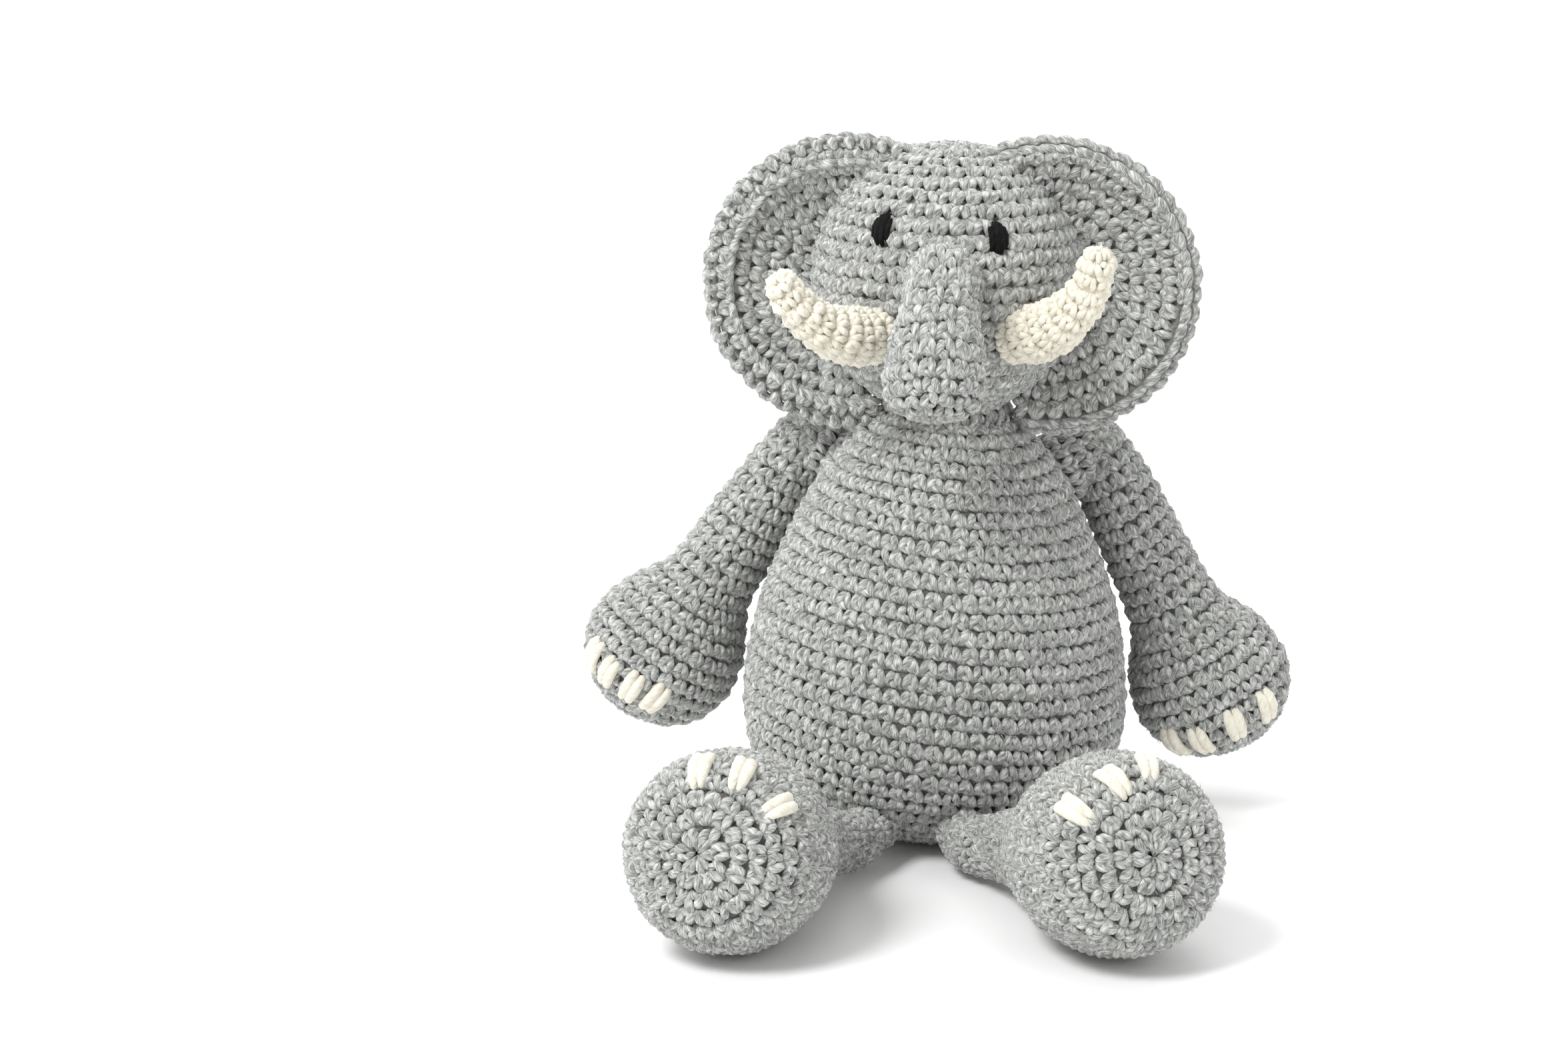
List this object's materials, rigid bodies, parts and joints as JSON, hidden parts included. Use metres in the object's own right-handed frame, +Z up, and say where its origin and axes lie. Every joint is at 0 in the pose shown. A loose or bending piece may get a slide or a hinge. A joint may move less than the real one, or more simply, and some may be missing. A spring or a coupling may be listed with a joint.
{
  "type": "stuffed elephant",
  "caption": "Crocheted stuffed elephant sitting with its legs forward, with round two-layer ears, a drooping trunk and curled tusks.",
  "frame": {"origin": "centre of the flat seat, on the surface that it sits on", "axes": "+Z up, the elephant faces -Y, its own left side is +X"},
  "size_m": [0.2168, 0.2071, 0.2078],
  "materials": {
    "grey_yarn": "matte",
    "cream_yarn": "matte",
    "black_yarn": "matte",
    "fibre_filling": "matte"
  },
  "bodies": {
    "torso": {"body_shell": "grey_yarn", "body_filling": "fibre_filling"},
    "neck": {"neck_filling": "fibre_filling", "neck_seam": "grey_yarn"},
    "head": {"head_shell": "grey_yarn", "head_filling": "fibre_filling", "trunk_seam": "grey_yarn", "eye_left": "black_yarn", "eye_right": "black_yarn", "ear_left_seam": "grey_yarn", "ear_right_seam": "grey_yarn", "tusk_left_shell": "cream_yarn", "tusk_left_filling": "fibre_filling", "tusk_right_shell": "cream_yarn", "tusk_right_filling": "fibre_filling"},
    "trunk": {"trunk_shell": "grey_yarn", "trunk_filling": "fibre_filling"},
    "ear_left": {"ear_left_front": "grey_yarn", "ear_left_back": "grey_yarn", "ear_left_edging": "grey_yarn"},
    "ear_right": {"ear_right_front": "grey_yarn", "ear_right_back": "grey_yarn", "ear_right_edging": "grey_yarn"},
    "arm_left_root": {"arm_left_seam": "grey_yarn"},
    "arm_left": {"arm_left_shell": "grey_yarn", "arm_left_filling": "fibre_filling", "arm_left_claws": "cream_yarn"},
    "arm_right_root": {"arm_right_seam": "grey_yarn"},
    "arm_right": {"arm_right_shell": "grey_yarn", "arm_right_filling": "fibre_filling", "arm_right_claws": "cream_yarn"},
    "leg_left_root": {"leg_left_seam": "grey_yarn"},
    "leg_left": {"leg_left_shell": "grey_yarn", "leg_left_filling": "fibre_filling", "leg_left_claws": "cream_yarn"},
    "leg_right_root": {"leg_right_seam": "grey_yarn"},
    "leg_right": {"leg_right_shell": "grey_yarn", "leg_right_filling": "fibre_filling", "leg_right_claws": "cream_yarn"}
  },
  "joints": [
    {"name": "head_turn", "type": "hinge", "parent": "torso", "child": "neck", "pos_m": [0.004, 0, 0.126], "axis": [0, 0, 1], "range_deg": [-9, 9], "stiffness_Nm_per_rad": 0.25},
    {"name": "head_nod", "type": "hinge", "parent": "neck", "child": "head", "pos_m": [0.004, 0, 0.13], "axis": [-1, 0, 0], "range_deg": [-10, 10], "stiffness_Nm_per_rad": 0.25},
    {"name": "trunk_lift", "type": "hinge", "parent": "head", "child": "trunk", "pos_m": [0.00189, -0.05016, 0.16986], "axis": [-0.998, 0.0453, 0.0436], "range_deg": [-12, 35], "stiffness_Nm_per_rad": 0.03},
    {"name": "ear_left_flap", "type": "hinge", "parent": "head", "child": "ear_left", "pos_m": [0.04407, -0.00049, 0.16426], "axis": [0, 0, -1], "range_deg": [-10, 20], "stiffness_Nm_per_rad": 0.01},
    {"name": "ear_right_flap", "type": "hinge", "parent": "head", "child": "ear_right", "pos_m": [-0.03555, 0.00647, 0.16775], "axis": [0, 0, 1], "range_deg": [-10, 20], "stiffness_Nm_per_rad": 0.01},
    {"name": "arm_left_swing", "type": "hinge", "parent": "torso", "child": "arm_left_root", "pos_m": [0.0492, 0.017, 0.1126], "axis": [0.8454, 0.2911, 0.4478], "range_deg": [-50, 30]},
    {"name": "arm_left_lift", "type": "hinge", "parent": "arm_left_root", "child": "arm_left", "pos_m": [0.0492, 0.017, 0.1126], "axis": [0, -1, 0], "range_deg": [0, 30]},
    {"name": "arm_right_swing", "type": "hinge", "parent": "torso", "child": "arm_right_root", "pos_m": [-0.0376, 0.018, 0.1152], "axis": [0.7885, -0.2715, -0.5519], "range_deg": [-50, 30]},
    {"name": "arm_right_lift", "type": "hinge", "parent": "arm_right_root", "child": "arm_right", "pos_m": [-0.0376, 0.018, 0.1152], "axis": [0, 1, 0], "range_deg": [0, 30]},
    {"name": "leg_left_splay", "type": "hinge", "parent": "torso", "child": "leg_left_root", "pos_m": [0.0118, -0.0565, 0.0094], "axis": [0, 0, 1], "range_deg": [-10, 12]},
    {"name": "leg_left_lift", "type": "hinge", "parent": "leg_left_root", "child": "leg_left", "pos_m": [0.0118, -0.0565, 0.0094], "axis": [-0.8604, -0.5097, 0], "range_deg": [0, 30]},
    {"name": "leg_right_splay", "type": "hinge", "parent": "torso", "child": "leg_right_root", "pos_m": [-0.0206, -0.0538, 0.0094], "axis": [0, 0, -1], "range_deg": [-10, 12]},
    {"name": "leg_right_lift", "type": "hinge", "parent": "leg_right_root", "child": "leg_right", "pos_m": [-0.0206, -0.0538, 0.0094], "axis": [-0.9017, 0.4323, 0], "range_deg": [0, 30]}
  ]
}
